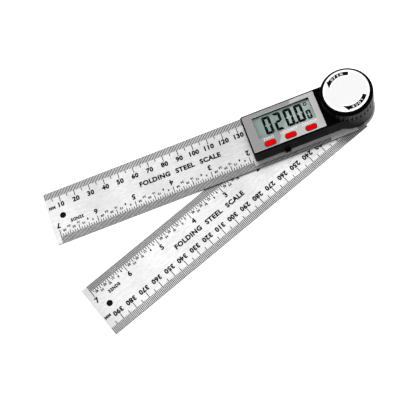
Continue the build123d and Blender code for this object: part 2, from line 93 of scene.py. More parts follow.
def camera_axes():
    """Right, up and back directions of the photographer's camera."""
    back = Vector(
        (
            math.sin(CAMERA_AZIMUTH) * math.cos(CAMERA_ELEVATION),
            -math.cos(CAMERA_AZIMUTH) * math.cos(CAMERA_ELEVATION),
            math.sin(CAMERA_ELEVATION),
        )
    )
    level = Vector((math.cos(CAMERA_AZIMUTH), math.sin(CAMERA_AZIMUTH), 0))
    rise = back.cross(level)
    right = level * math.cos(CAMERA_ROLL) + rise * math.sin(CAMERA_ROLL)
    return right, back.cross(right), back


def make_camera():
    right, up, back = camera_axes()
    place = CAMERA_TARGET + back * CAMERA_DISTANCE
    data = bpy.data.cameras.new("camera")
    data.sensor_width = SENSOR_WIDTH
    data.lens = CAMERA_LENS
    data.clip_start = 0.01
    camera = bpy.data.objects.new("camera", data)
    bpy.context.scene.collection.objects.link(camera)
    turn = Matrix((right, up, back)).transposed().to_4x4()
    camera.matrix_world = Matrix.Translation(place) @ turn
    bpy.context.scene.camera = camera
    return place


# ------------------------------------------------------------------ materials
class Finish:
    """One node material: a Principled surface, and short ways to add nodes that feed it."""

    def __init__(self, name, **constants):
        self.material = bpy.data.materials.new(name)
        self.material.use_nodes = True
        self.tree = self.material.node_tree
        self.surface = self.tree.nodes["Principled BSDF"]
        self.place = self.node("TexCoord").outputs["Object"]
        self.height = None
        for socket, value in constants.items():
            self.set(socket.replace("_", " "), value)

    def set(self, socket, value):
        self.feed(self.surface.inputs[socket], value)

    def feed(self, socket, value):
        if isinstance(value, bpy.types.NodeSocket):
            self.tree.links.new(value, socket)
        else:
            socket.default_value = value

    def node(self, kind, inputs=(), **settings):
        node = self.tree.nodes.new("ShaderNode" + kind)
        for key, value in settings.items():
            setattr(node, key, value)
        for key, value in dict(inputs).items():
            self.feed(node.inputs[key], value)
        return node

    def turned(self, angle):
        """Object coordinates, turned about Z."""
        return self.node("Mapping", {"Vector": self.place, "Rotation": (0, 0, angle)}).outputs[0]

    def stretched(self, vector, scale):
        return self.node("Mapping", {"Vector": vector, "Scale": scale}).outputs[0]

    def axes(self, vector):
        return self.node("SeparateXYZ", {0: vector}).outputs

    def maths(self, operation, first, second=0.0):
        return self.node("Math", {0: first, 1: second}, operation=operation).outputs[0]

    def noise(self, scale, vector=None, detail=3.0, roughness=0.55):
        inputs = {
            "Vector": self.place if vector is None else vector,
            "Scale": scale,
            "Detail": detail,
            "Roughness": roughness,
        }
        return self.node("TexNoise", inputs).outputs[0]

    def range(self, value, from_low, from_high, to_low, to_high):
        inputs = {0: value, 1: from_low, 2: from_high, 3: to_low, 4: to_high}
        return self.node("MapRange", inputs).outputs[0]

    def mix(self, factor, first, second):
        node = self.node("Mix", data_type="RGBA")
        self.feed(node.inputs[0], factor)
        self.feed(node.inputs[6], first)
        self.feed(node.inputs[7], second)
        return node.outputs[2]

    def bump(self, value, depth, strength=1.0):
        """Adds one more layer of relief, depth metres deep."""
        inputs = {"Height": value, "Distance": depth, "Strength": strength}
        if self.height is not None:
            inputs["Normal"] = self.height
        self.height = self.node("Bump", inputs).outputs[0]
        self.set("Normal", self.height)

    def upright(self, steep=0.5, flat=0.8):
        """1 on the faces that stand up and 0 on level ones, by the piece's own normal."""
        normal = self.node("TexCoord").outputs["Normal"]
        level = self.maths("ABSOLUTE", self.axes(normal)[2])
        return self.range(level, steep, flat, 1.0, 0.0)


def grey(value):
    return (value, value, value, 1.0)


def steel_finish(name, turn, inch_side, painted_lift, tip_shade_share):
    """Satin stainless, brushed along the ruler, with ink haze between the etched lines."""
    finish = Finish(name, Metallic=0.6, Specular_IOR_Level=0.3)
    local = finish.turned(-turn)
    x, y, _ = finish.axes(local)
    fine = finish.noise(1.0, finish.stretched(local, (90, 9000, 90)), detail=4)
    broad = finish.noise(1.0, finish.stretched(local, (12, 900, 12)), detail=3)
    cloud = finish.noise(28, local, detail=2)
    scratch = finish.noise(1.0, finish.stretched(local, (160, 2600, 160)), detail=1)
    scratches = finish.range(scratch, 0.70, 0.76, 0.0, 1.0)
    fleck = finish.noise(1.0, finish.stretched(local, (280, 1500, 280)), detail=3)
    # haze of ink in the two graduated edges; the inch scale stops short of the ruler's ends
    edge = finish.maths("ABSOLUTE", y)
    banded = finish.range(edge, HALF_WIDTH - 5.0 * MM, HALF_WIDTH - 4.2 * MM, 0.0, 1.0)
    inch = finish.range(finish.maths("MULTIPLY", y, inch_side), 0.0, MM, 0.0, 1.0)
    past_tip = finish.range(x, INCH_SEVEN - MM, INCH_SEVEN, 1.0, 0.0)
    past_zero = finish.range(x, INCH_ZERO, INCH_ZERO + MM, 0.0, 1.0)
    outside = finish.maths("MAXIMUM", past_tip, past_zero)
    bare = finish.maths("MULTIPLY", outside, inch)
    banded = finish.maths("MULTIPLY", banded, finish.maths("SUBTRACT", 1.0, bare))
    # this factor scales every tone of the steel; a larger one gives a lighter copy of the same steel:
    # painted light
    streak = finish.mix(finish.range(fine, 0.3, 0.7, 0, 1), grey(0.35 * painted_lift), grey(0.55 * painted_lift))
    tone = finish.mix(finish.range(broad, 0.35, 0.65, 0, 0.5), streak, grey(0.53 * painted_lift))
    tone = finish.mix(finish.range(cloud, 0.4, 0.7, 0, 0.4), tone, grey(0.35 * painted_lift))
    tone = finish.mix(finish.range(fleck, 0.45, 0.75, 0, 0.55), tone, grey(0.28 * painted_lift))
    tone = finish.mix(finish.maths("MULTIPLY", scratches, 0.25), tone, grey(0.6))
    tone = finish.mix(finish.maths("MULTIPLY", banded, 0.2), tone, grey(0.26))
    # painted shade: the steel darker over its last 25 mm towards the tip
    tip_shade = finish.range(x, -ARM_LENGTH, -ARM_LENGTH + 25 * MM, tip_shade_share, 0.0)
    tone = finish.mix(tip_shade, tone, grey(0.22))
    # upright edge faces painted near black: painted shade along the ruler's edges
    tone = finish.mix(finish.upright(), tone, grey(0.035))
    finish.set("Base Color", tone)
    rough = finish.range(cloud, 0.3, 0.7, 0.27, 0.35)
    finish.set("Roughness", finish.maths("ADD", rough, finish.range(fine, 0.3, 0.7, -0.04, 0.04)))
    finish.bump(fine, 0.004 * MM, 0.5)
    finish.bump(broad, 0.01 * MM, 0.3)
    return finish.material


def moulded_finish(name, colour, sheen, roughness, grain=2600.0, depth=0.012, roof=1.0):
    """Moulded plastic with spark-eroded grain, faint flow marks and handling polish.

    roof is the share of the sheen that the level faces keep.
    """
    finish = Finish(name)
    finish.set("Specular IOR Level", finish.range(finish.upright(0.15, 0.4), 0, 1, sheen * roof, sheen))
    speck = finish.noise(grain, detail=2)
    flow = finish.noise(60, finish.stretched(finish.place, (1, 1, 3)), detail=3)
    worn = finish.noise(140, detail=4, roughness=0.7)
    lighter = tuple(min(1.0, channel * 1.5 + 0.001) for channel in colour[:3]) + (1.0,)
    finish.set("Base Color", finish.mix(finish.range(flow, 0.35, 0.7, 0, 0.5), colour, lighter))
    polish = finish.range(worn, 0.35, 0.7, roughness - 0.06, roughness + 0.06)
    finish.set("Roughness", polish)
    finish.bump(speck, depth * MM, 0.6)
    finish.bump(flow, 0.03 * MM, 0.25)
    return finish.material


def plate_finish():
    """Grey enamel over brushed aluminium under a clear gloss film; its cut edges are bright."""
    finish = Finish(
        "plate_metal", Specular_IOR_Level=0.2, Coat_Weight=1.0, Coat_Roughness=0.02, Coat_IOR=1.7
    )
    fine = finish.noise(1.0, finish.stretched(finish.place, (120, 7000, 120)), detail=4)
    fleck = finish.noise(3800, detail=2)
    tone = finish.mix(finish.range(fine, 0.3, 0.7, 0, 1), grey(0.155), grey(0.185))
    tone = finish.mix(finish.range(fleck, 0.45, 0.8, 0, 0.3), tone, grey(0.26))
    normal = finish.axes(finish.node("TexCoord").outputs["Normal"])[2]
    cut = finish.range(normal, 0.9, 0.98, 1.0, 0.0)
    finish.set("Base Color", finish.mix(cut, tone, grey(0.62)))
    finish.set("Roughness", finish.range(fine, 0.3, 0.7, 0.42, 0.54))
    finish.bump(fine, 0.003 * MM, 0.4)
    return finish.material


def pane_finish():
    """See-through pane with a weaker mirror share than real acrylic, so that the reading is legible."""
    finish = Finish("window_clear")
    tree = finish.tree
    clear = finish.node("BsdfTransparent", {"Color": (0.97, 0.985, 0.98, 1.0)})
    gloss = finish.node("BsdfGlossy", {"Color": grey(1.0)})
    smear = finish.noise(90, detail=3)
    finish.feed(gloss.inputs["Roughness"], finish.range(smear, 0.35, 0.75, 0.20, 0.28))
    share = finish.node("Fresnel", {"IOR": 1.06}).outputs[0]
    blend = finish.node("MixShader", {0: share, 1: clear.outputs[0], 2: gloss.outputs[0]})
    output = next(n for n in tree.nodes if n.type == "OUTPUT_MATERIAL")
    tree.links.new(blend.outputs[0], output.inputs["Surface"])
    tree.nodes.remove(finish.surface)
    return finish.material


def glass_finish():
    """Grey-green reflective display glass with a faint cell pattern."""
    finish = Finish(
        "lcd_glass", Specular_IOR_Level=0.1, Coat_Weight=1.0, Coat_Roughness=0.02, Coat_IOR=1.5
    )
    weave = finish.noise(5200, detail=1)
    cloud = finish.noise(45, detail=2)
    base = finish.mix(
        finish.range(cloud, 0.35, 0.65, 0, 1),
        (0.190, 0.240, 0.220, 1.0),
        (0.205, 0.257, 0.236, 1.0),
    )
    tone = finish.mix(finish.range(weave, 0.4, 0.7, 0, 0.5), base, (0.23, 0.285, 0.262, 1.0))
    sides = finish.upright()
    finish.set("Base Color", finish.mix(sides, tone, (0.09, 0.12, 0.11, 1.0)))
    finish.set("Roughness", finish.range(weave, 0.3, 0.7, 0.42, 0.55))
    finish.bump(weave, 0.0005 * MM, 0.1)
    return finish.material


def button_finish():
    """Red moulded plastic, with painted shade on its upright sides."""
    finish = Finish("button_red", Specular_IOR_Level=0.01)
    speck = finish.noise(2400, detail=2)
    cloud = finish.noise(220, detail=2)
    tone = finish.mix(
        finish.range(cloud, 0.35, 0.65, 0, 1), (0.55, 0.0, 0.0, 1), (0.65, 0.0, 0.0, 1)
    )
    # the upright sides darker red: painted shade
    side = finish.upright()
    finish.set("Base Color", finish.mix(side, tone, (0.30, 0.002, 0.002, 1.0)))
    finish.set("Roughness", finish.range(speck, 0.3, 0.7, 0.34, 0.46))
    finish.bump(speck, 0.008 * MM, 0.5)
    return finish.material


def label_finish(name, dull, bright):
    """White printed label stock with a little fibre in it."""
    finish = Finish(name, Specular_IOR_Level=0.2)
    fibre = finish.noise(1800, detail=4, roughness=0.7)
    cloud = finish.noise(120, detail=2)
    tone = finish.mix(finish.range(fibre, 0.35, 0.7, 0, 1), grey(dull), grey(bright))
    tone = finish.mix(finish.range(cloud, 0.4, 0.7, 0, 0.3), tone, grey(dull))
    finish.set("Base Color", tone)
    finish.set("Roughness", finish.range(fibre, 0.3, 0.7, 0.38, 0.5))
    finish.bump(fibre, 0.004 * MM, 0.4)
    return finish.material


def square(finish, value):
    return finish.maths("MULTIPLY", value, value)


def ink_finish(name, colour, worn_colour, roughness=0.5, sheen=0.1):
    """Baked ink in an etched line: matt, a little uneven, with pinholes."""
    finish = Finish(name, Specular_IOR_Level=sheen)
    patch = finish.noise(700, detail=4, roughness=0.7)
    pinhole = finish.noise(5200, detail=1)
    worn = finish.maths(
        "ADD", finish.range(patch, 0.52, 0.75, 0, 0.6), finish.range(pinhole, 0.68, 0.74, 0, 0.5)
    )
    finish.set("Base Color", finish.mix(worn, colour, worn_colour))
    finish.set("Roughness", finish.range(patch, 0.3, 0.7, roughness - 0.08, roughness + 0.08))
    finish.bump(patch, 0.004 * MM, 0.4)
    return finish.material


def turned_metal_finish(name, colour, roughness, ring=2600.0):
    """Machined metal with fine turning rings about the pivot axis."""
    finish = Finish(name, Metallic=1.0)
    x, y, z = finish.axes(finish.place)
    reach = finish.maths("SQRT", finish.maths("ADD", square(finish, x), square(finish, y)))
    rings = finish.maths("SINE", finish.maths("MULTIPLY", finish.maths("ADD", reach, z), ring * 6))
    tarnish = finish.noise(260, detail=4)
    darker = tuple(channel * 0.72 for channel in colour[:3]) + (1.0,)
    finish.set("Base Color", finish.mix(finish.range(tarnish, 0.4, 0.75, 0, 0.8), colour, darker))
    finish.set("Roughness", finish.range(tarnish, 0.3, 0.7, roughness, roughness + 0.14))
    finish.bump(rings, 0.004 * MM, 0.5)
    return finish.material


def board_finish():
    """Green solder mask over glass cloth, with copper tracks that show through."""
    finish = Finish("board_laminate", Specular_IOR_Level=0.5)
    tracks = finish.node("TexBrick", {"Vector": finish.place, "Scale": 260.0}).outputs["Fac"]
    weave = finish.noise(1600, detail=2)
    mask = finish.mix(
        finish.range(weave, 0.35, 0.7, 0, 1), (0.004, 0.07, 0.025, 1), (0.008, 0.11, 0.04, 1)
    )
    track = finish.maths("MULTIPLY", tracks, 0.7)
    finish.set("Base Color", finish.mix(track, mask, (0.05, 0.24, 0.09, 1.0)))
    finish.set("Roughness", finish.range(weave, 0.3, 0.7, 0.22, 0.34))
    finish.bump(tracks, 0.02 * MM, 0.5)
    return finish.material


# ------------------------------------------------------------------ flat shapes
def add_prism(mesh, outline, low, high):
    """One closed prism over a counterclockwise outline of (x, y) points."""
    floor = [mesh.verts.new((x, y, low)) for x, y in outline]
    roof = [mesh.verts.new((x, y, high)) for x, y in outline]
    mesh.faces.new(roof)
    mesh.faces.new(floor[::-1])
    for i in range(len(outline)):
        j = (i + 1) % len(outline)
        mesh.faces.new((floor[i], floor[j], roof[j], roof[i]))


def add_bar(mesh, x_low, x_high, y_low, y_high, low, high):
    outline = [(x_low, y_low), (x_high, y_low), (x_high, y_high), (x_low, y_high)]
    add_prism(mesh, outline, low, high)


_lettering = {}


def lettering(text, weight):
    """Closed mesh of a word, one unit high and one unit wide about its centre."""
    key = (text, weight)
    if key not in _lettering:
        curve = bpy.data.curves.new("lettering", "FONT")
        curve.body = text
        curve.offset = weight
        curve.space_character = 1.12
        curve.extrude = 0.5
        curve.resolution_u = 4
        word = bpy.data.objects.new("lettering", curve)
        bpy.context.scene.collection.objects.link(word)
        shown = word.evaluated_get(bpy.context.evaluated_depsgraph_get())
        mesh = bpy.data.meshes.new_from_object(shown)
        bpy.data.objects.remove(word)
        bpy.data.curves.remove(curve)
        shape = bmesh.new()
        shape.from_mesh(mesh)
        bmesh.ops.remove_doubles(shape, verts=shape.verts, dist=1e-5)
        shape.to_mesh(mesh)
        shape.free()
        places = [v.co.copy() for v in mesh.vertices]
        low = Vector([min(p[i] for p in places) for i in range(3)])
        high = Vector([max(p[i] for p in places) for i in range(3)])
        middle = (low + high) / 2
        size = high - low
        fit = Matrix.Diagonal((1 / size.x, 1 / size.y, 1 / size.z, 1))
        mesh.transform(fit @ Matrix.Translation(-middle))
        _lettering[key] = (mesh, size.x / size.y)
    return _lettering[key]


def add_word(mesh, text, centre, height, low, high, angle=0.0, width=None, weight=0.03):
    """Writes a word about a centre point; its width follows the typeface unless it is given."""
    word, aspect = lettering(text, weight)
    if width is None:
        width = height * aspect
    placed = word.copy()
    size = Matrix.Diagonal((width, height, high - low, 1))
    turn = Matrix.Rotation(angle, 4, "Z")
    at = Matrix.Translation((centre[0], centre[1], (low + high) / 2))
    placed.transform(at @ turn @ size)
    mesh.from_mesh(placed)
    bpy.data.meshes.remove(placed)


def finished(mesh, name, material, body, turn=0.0):
    """Turns a bmesh into a piece that rides on a CAD body."""
    bmesh.ops.recalc_face_normals(mesh, faces=mesh.faces)
    data = bpy.data.meshes.new(name)
    mesh.to_mesh(data)
    mesh.free()
    if turn:
        data.transform(Matrix.Rotation(turn, 4, "Z"))
    data.materials.append(material)
    piece = bpy.data.objects.new(name, data)
    bpy.context.scene.collection.objects.link(piece)
    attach(piece, body)
    return piece


# ------------------------------------------------------------------ ruler scales
# Along each ruler x runs from the tip at -ARM_LENGTH to the pivot at 0. A scale reads from
# one long edge: side is +1 for the +Y edge and -1 for the -Y edge, and its figures stand
# upright on a +1 side and upside down on a -1 side.
INCH_SEVEN = -195.8 * MM
INCH_ZERO = INCH_SEVEN + 7 * INCH
MM_TICKS = {1: 4.6 * MM, 5: 6.6 * MM, 10: 8.4 * MM}
MM_FIGURE_Y = 10.4 * MM  # distance of the figures' centre from the edge
MM_FIGURE_HEIGHT = 3.5 * MM
INCH_TICKS = {1: 4.6 * MM, 2: 6.1 * MM, 8: 7.0 * MM, 16: 8.2 * MM, 32: 9.2 * MM}
INCH_FIGURE_HEIGHT = 3.7 * MM
SMALL_FIGURE_HEIGHT = 1.6 * MM
TITLE = ("FOLDING", "STEEL", "SCALE")
TITLE_START = -139.0 * MM
TITLE_END = -84.8 * MM
TITLE_GAP = 3.6 * MM
TITLE_HEIGHT = 3.5 * MM
TITLE_WEIGHT = 0.055


def tick_length(lengths, count):
    """Length of a tick by the largest step that divides its number."""
    return lengths[max(step for step in lengths if count % step == 0)]


def add_tick(mesh, x, side, length, top, limit=None):
    """One line from the ruler's edge inwards; limit keeps it out from under the housing."""
    end = HALF_WIDTH - length
    if limit is not None:
        end = max(end, limit)
    y_low, y_high = sorted((side * (HALF_WIDTH - 0.05 * MM), side * end))
    half = LINE_WIDTH / 2
    add_bar(mesh, x - half, x + half, y_low, y_high, top, top + INK_THICK)


def add_figure(mesh, text, x, side, from_edge, height, top, weight=0.06):
    y = side * (HALF_WIDTH - from_edge)
    angle = 0.0 if side > 0 else math.pi
    add_word(mesh, text, (x, y), height, top, top + INK_THICK, angle, weight=weight)


def add_millimetres(mesh, side, top, mark_at, figures, hidden_from=None):
    """Millimetre ticks along one edge; mark_at gives a mark's place along the ruler."""
    for count in range(1, 200):
        x = -ARM_LENGTH + count * MM
        limit = None
        if hidden_from is not None and x > hidden_from:
            limit = shell_high.y
        add_tick(mesh, x, side, tick_length(MM_TICKS, count), top, limit)
    for figure in figures:
        add_figure(mesh, str(figure), mark_at(figure), side, MM_FIGURE_Y, MM_FIGURE_HEIGHT, top)


def add_inches(mesh, side, top, rows, hidden_from=None):
    """Inch ticks in thirty-seconds, and the small figures after each inch mark."""
    covered = 0.0 if hidden_from is None else hidden_from
    for count in range(0, 7 * 32 + 1):
        x = INCH_ZERO - count * INCH / 32
        limit = shell_high.y if x > covered - MM else None
        add_tick(mesh, x, side, tick_length(INCH_TICKS, count), top, limit)
    for inch in range(1, 8):
        x = INCH_ZERO - inch * INCH
        if x < covered - 2 * MM:
            add_figure(mesh, str(inch), x, side, rows["inch"], INCH_FIGURE_HEIGHT, top, 0.05)
        for part in range(4, 32, 4):
            spot = INCH_ZERO - (inch - 1) * INCH - part * INCH / 32
            row = rows["outer"] if part % 8 == 4 else rows["inner"]
            if spot < covered - MM:
                add_figure(mesh, str(part), spot, side, row, SMALL_FIGURE_HEIGHT, top, 0.06)


def add_title(mesh, y, top):
    """Three words that share the title's length by their natural widths."""
    shares = [lettering(word, TITLE_WEIGHT)[1] for word in TITLE]
    room = TITLE_END - TITLE_START - 2 * TITLE_GAP
    start = TITLE_START
    for word, share in zip(TITLE, shares):
        width = room * share / sum(shares)
        centre = (start + width / 2, y)
        high = top + INK_THICK
        add_word(mesh, word, centre, TITLE_HEIGHT, top, high, 0.0, width, TITLE_WEIGHT)
        start += width + TITLE_GAP


def make_fixed_scale(ink):
    mesh = bmesh.new()
    top = fixed_high.z
    hidden = shell_low.x
    rows = {"inch": 12.2 * MM, "outer": 7.9 * MM, "inner": 9.6 * MM}
    add_millimetres(mesh, 1, top, lambda mark: mark * MM - ARM_LENGTH, range(10, 140, 10), hidden)
    add_inches(mesh, -1, top, rows, hidden)
    add_title(mesh, 0.4 * MM, top)
    add_word(mesh, "MM", (-196.4 * MM, 7.0 * MM), 2.1 * MM, top, top + INK_THICK, 0, 4.4 * MM, 0.07)
    unit = (-182.9 * MM, -5.4 * MM)
    add_word(mesh, "32NDS", unit, 2.4 * MM, top, top + INK_THICK, math.pi, 8.8 * MM, 0.065)
    return finished(mesh, "fixed_scale", ink, "fixed_arm")


def make_moving_scale(ink):
    mesh = bmesh.new()
    top = moving_high.z
    rows = {"inch": 11.4 * MM, "outer": 6.7 * MM, "inner": 8.2 * MM}
    add_millimetres(mesh, -1, top, lambda mark: ARM_LENGTH - mark * MM, range(220, 400, 10))
    add_inches(mesh, 1, top, rows)
    add_title(mesh, 0.5 * MM, top)
    unit = (-196.9 * MM, -6.0 * MM)
    add_word(mesh, "MM", unit, 2.1 * MM, top, top + INK_THICK, math.pi, 4.4 * MM, 0.07)
    unit = (-182.9 * MM, 6.0 * MM)
    add_word(mesh, "32NDS", unit, 2.4 * MM, top, top + INK_THICK, 0.0, 8.8 * MM, 0.065)
    return finished(mesh, "moving_scale", ink, "moving_arm", REST_TURN)


def make_plug(name, ruler_low, body, turn, material):
    """Thin black disc low in a ruler's hanging hole: painted shade that stands in for the dark of the
    open hole.
    """
    mesh = bmesh.new()
    outline = circle_outline((HANG_HOLE_X, 0.0), HANG_HOLE_R - HOLE_SHADE_GAP, 48)
    add_prism(mesh, outline, ruler_low.z + HOLE_SHADE_BOTTOM, ruler_low.z + HOLE_SHADE_TOP)
    return finished(mesh, name, material, body, turn)


# ------------------------------------------------------------------ display
DIGIT_HEIGHT = 12.2 * MM
DIGIT_WIDTH = 5.2 * MM
DIGIT_Y = 2.85 * MM
DIGIT_PLACES = {-51.0: "0", -44.2: "2", -37.15: "0", -30.1: "0"}
DIGIT_STROKE = 1.7 * MM
SMALL_DIGIT = (-25.0 * MM, -0.1 * MM)
SMALL_DIGIT_SIZE = (3.1 * MM, 6.1 * MM)
SMALL_STROKE = 1.15 * MM
SEGMENT_GAP = 0.10 * MM
READING_THICK = 0.03 * MM
DECIMAL_POINT = (-33.62 * MM, -2.6 * MM)
DECIMAL_HALF = 0.8 * MM
DEGREE_RING = (-25.2 * MM, 7.4 * MM)
DEGREE_OUTER = 1.25 * MM
DEGREE_INNER = 0.6 * MM
SEGMENTS = {"0": "abcdef", "2": "abged"}

LABELS = {"zero_button": "ZERO", "hold_button": "HOLD/REV", "power_button": "ON/OFF"}
LABEL_WIDTHS = {"zero_button": 7.0 * MM, "hold_button": 11.2 * MM, "power_button": 9.8 * MM}
LABEL_Y = -6.55 * MM
LABEL_HEIGHT = 1.7 * MM
BUTTON_SIZE = (6.6 * MM, 3.1 * MM)
BUTTON_CORNER = 1.3 * MM
BUTTON_GAP = 0.1 * MM  # from a button to the edge of its hole in the plate
# width of the dark ring round each button hole, partly painted shade
SHADE_RING_WIDTH = 0.3 * MM


def segment_outlines(width, height, stroke):
    """The seven mitred bars of a digit about its centre, by their usual letters."""
    half_w, half_h = width / 2, height / 2
    gap = SEGMENT_GAP / 2
    cut = stroke * 0.4
    top = [
        (-half_w + cut, half_h),
        (-half_w + cut / 2 + gap, half_h - cut / 2),
        (-half_w + stroke + gap, half_h - stroke),
        (half_w - stroke - gap, half_h - stroke),
        (half_w - cut / 2 - gap, half_h - cut / 2),
        (half_w - cut, half_h),
    ]
    left = [
        (-half_w + cut / 2, half_h - cut / 2 - gap),
        (-half_w, half_h - cut - gap),
        (-half_w, gap),
        (-half_w + stroke / 2, gap),
        (-half_w + stroke, stroke / 2 + gap),
        (-half_w + stroke, half_h - stroke - gap),
    ]
    middle = [
        (-half_w + stroke / 2 + gap, 0.0),
        (-half_w + stroke + gap, -stroke / 2),
        (half_w - stroke - gap, -stroke / 2),
        (half_w - stroke / 2 - gap, 0.0),
        (half_w - stroke - gap, stroke / 2),
        (-half_w + stroke + gap, stroke / 2),
    ]

    def flipped(outline, x_sign, y_sign):
        points = [(x * x_sign, y * y_sign) for x, y in outline]
        return points if x_sign * y_sign > 0 else points[::-1]

    return {
        "a": top,
        "b": flipped(left, -1, 1),
        "c": flipped(left, -1, -1),
        "d": flipped(top, 1, -1),
        "e": flipped(left, 1, -1),
        "f": left,
        "g": middle,
    }


def add_digit(mesh, figure, centre, width, height, stroke, low, high):
    bars = segment_outlines(width, height, stroke)
    for letter in SEGMENTS[figure]:
        outline = [(x + centre[0], y + centre[1]) for x, y in bars[letter]]
        add_prism(mesh, outline, low, high)


def add_band(mesh, outer, inner, low, high):
    """Flat closed band between two outlines that have as many points as each other."""
    loops = []
    for outline, level in ((outer, low), (outer, high), (inner, high), (inner, low)):
        loops.append([mesh.verts.new((x, y, level)) for x, y in outline])
    for k in range(4):
        here, there = loops[k], loops[(k + 1) % 4]
        for i in range(len(outer)):
            j = (i + 1) % len(outer)
            mesh.faces.new((here[i], here[j], there[j], there[i]))


def circle_outline(centre, radius, steps=28):
    turn = [2 * math.pi * i / steps for i in range(steps)]
    return [(centre[0] + radius * math.cos(t), centre[1] + radius * math.sin(t)) for t in turn]


def rounded_outline(centre, half_x, half_y, corner, steps=6):
    """Rectangle with round corners, counterclockwise."""
    points = []
    for quarter, (x_sign, y_sign) in enumerate(((1, 1), (-1, 1), (-1, -1), (1, -1))):
        x = centre[0] + x_sign * (half_x - corner)
        y = centre[1] + y_sign * (half_y - corner)
        for i in range(steps + 1):
            angle = (quarter + i / steps) * math.pi / 2
            points.append((x + corner * math.cos(angle), y + corner * math.sin(angle)))
    return points


def make_reading(ink):
    """The reading 020.0 with its small last digit and degree ring."""
    mesh = bmesh.new()
    low = panel_high.z
    high = low + READING_THICK
    for x, figure in DIGIT_PLACES.items():
        centre = (x * MM, DIGIT_Y)
        add_digit(mesh, figure, centre, DIGIT_WIDTH, DIGIT_HEIGHT, DIGIT_STROKE, low, high)
    add_digit(mesh, "0", SMALL_DIGIT, *SMALL_DIGIT_SIZE, SMALL_STROKE, low, high)
    x, y = DECIMAL_POINT
    half = DECIMAL_HALF
    add_bar(mesh, x - half, x + half, y - half, y + half, low, high)
    outer = circle_outline(DEGREE_RING, DEGREE_OUTER)
    inner = circle_outline(DEGREE_RING, DEGREE_INNER)
    add_band(mesh, outer, inner, low, high)
    return finished(mesh, "display_reading", ink, "fixed_arm")


def make_plate_labels(ink):
    """What each button does, printed above it."""
    mesh = bmesh.new()
    top = plate_high.z
    for button, text in LABELS.items():
        low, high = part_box(button)
        centre = ((low.x + high.x) / 2, LABEL_Y)
        width = LABEL_WIDTHS[button]
        add_word(mesh, text, centre, LABEL_HEIGHT, top, top + INK_THICK, 0, width, 0.02)
    return finished(mesh, "plate_labels", ink, "fixed_arm")


def make_button_outlines(ink):
    """Thin dark ring round each button's hole: partly the dark gap round the button, partly painted
    shade.
    """
    mesh = bmesh.new()
    top = plate_high.z
    for button in LABELS:
        low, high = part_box(button)
        centre = ((low.x + high.x) / 2, (low.y + high.y) / 2)
        hole = (BUTTON_SIZE[0] / 2 + BUTTON_GAP, BUTTON_SIZE[1] / 2 + BUTTON_GAP)
        inner = rounded_outline(centre, *hole, BUTTON_CORNER)
        reach = (hole[0] + SHADE_RING_WIDTH, hole[1] + SHADE_RING_WIDTH)
        outer = rounded_outline(centre, *reach, BUTTON_CORNER + SHADE_RING_WIDTH)
        add_band(mesh, outer, inner, top, top + INK_THICK)
    return finished(mesh, "button_shade_rings", ink, "fixed_arm")


# ------------------------------------------------------------------ knob print
# Each arrow is a bent bar whose inner edge runs on to the tip, with one barb on the outside.
# Its angles are counted from its tail along the way it points. A word reads clockwise, so the
# letters of OPEN are laid last to first along its counterclockwise arrow.
ARROW_INNER = 10.25 * MM
ARROW_OUTER = 12.65 * MM
ARROW_HALO = 0.75 * MM
BARB_REACH = 13.5 * MM
TIP_REACH = 10.25 * MM
BAR_SWEEP = math.radians(66)
BARB_SWEEP = math.radians(68)
TIP_SWEEP = math.radians(88)
OPEN_TAIL = math.radians(63)
LOCK_TAIL = math.radians(-35)
FIRST_LETTER = math.radians(21)
LETTER_STEP = math.radians(11.3)
LETTER_HEIGHT = 1.5 * MM
FIELD_REACH = 12.75 * MM


def polar(radius, angle):
    return (radius * math.cos(angle), radius * math.sin(angle))


def arrow_outline(tail, way, grow=0.0, steps=24):
    """Outline of one curved arrow; way is +1 for counterclockwise and -1 for clockwise."""
    inner, outer = ARROW_INNER - grow, ARROW_OUTER + grow
    lead = grow / ARROW_OUTER
    points = []
    for i in range(steps + 1):
        sweep = -lead + (TIP_SWEEP - math.radians(4) + lead) * i / steps
        points.append(polar(inner, tail + way * sweep))
    points.append(polar(TIP_REACH - 0.6 * grow, tail + way * (TIP_SWEEP + 1.6 * lead)))
    points.append(polar(BARB_REACH + 0.5 * grow, tail + way * (BARB_SWEEP + 0.6 * lead)))
    for i in range(steps + 1):
        sweep = BAR_SWEEP - (BAR_SWEEP + lead) * i / steps
        points.append(polar(outer, tail + way * sweep))
    return points if way < 0 else points[::-1]


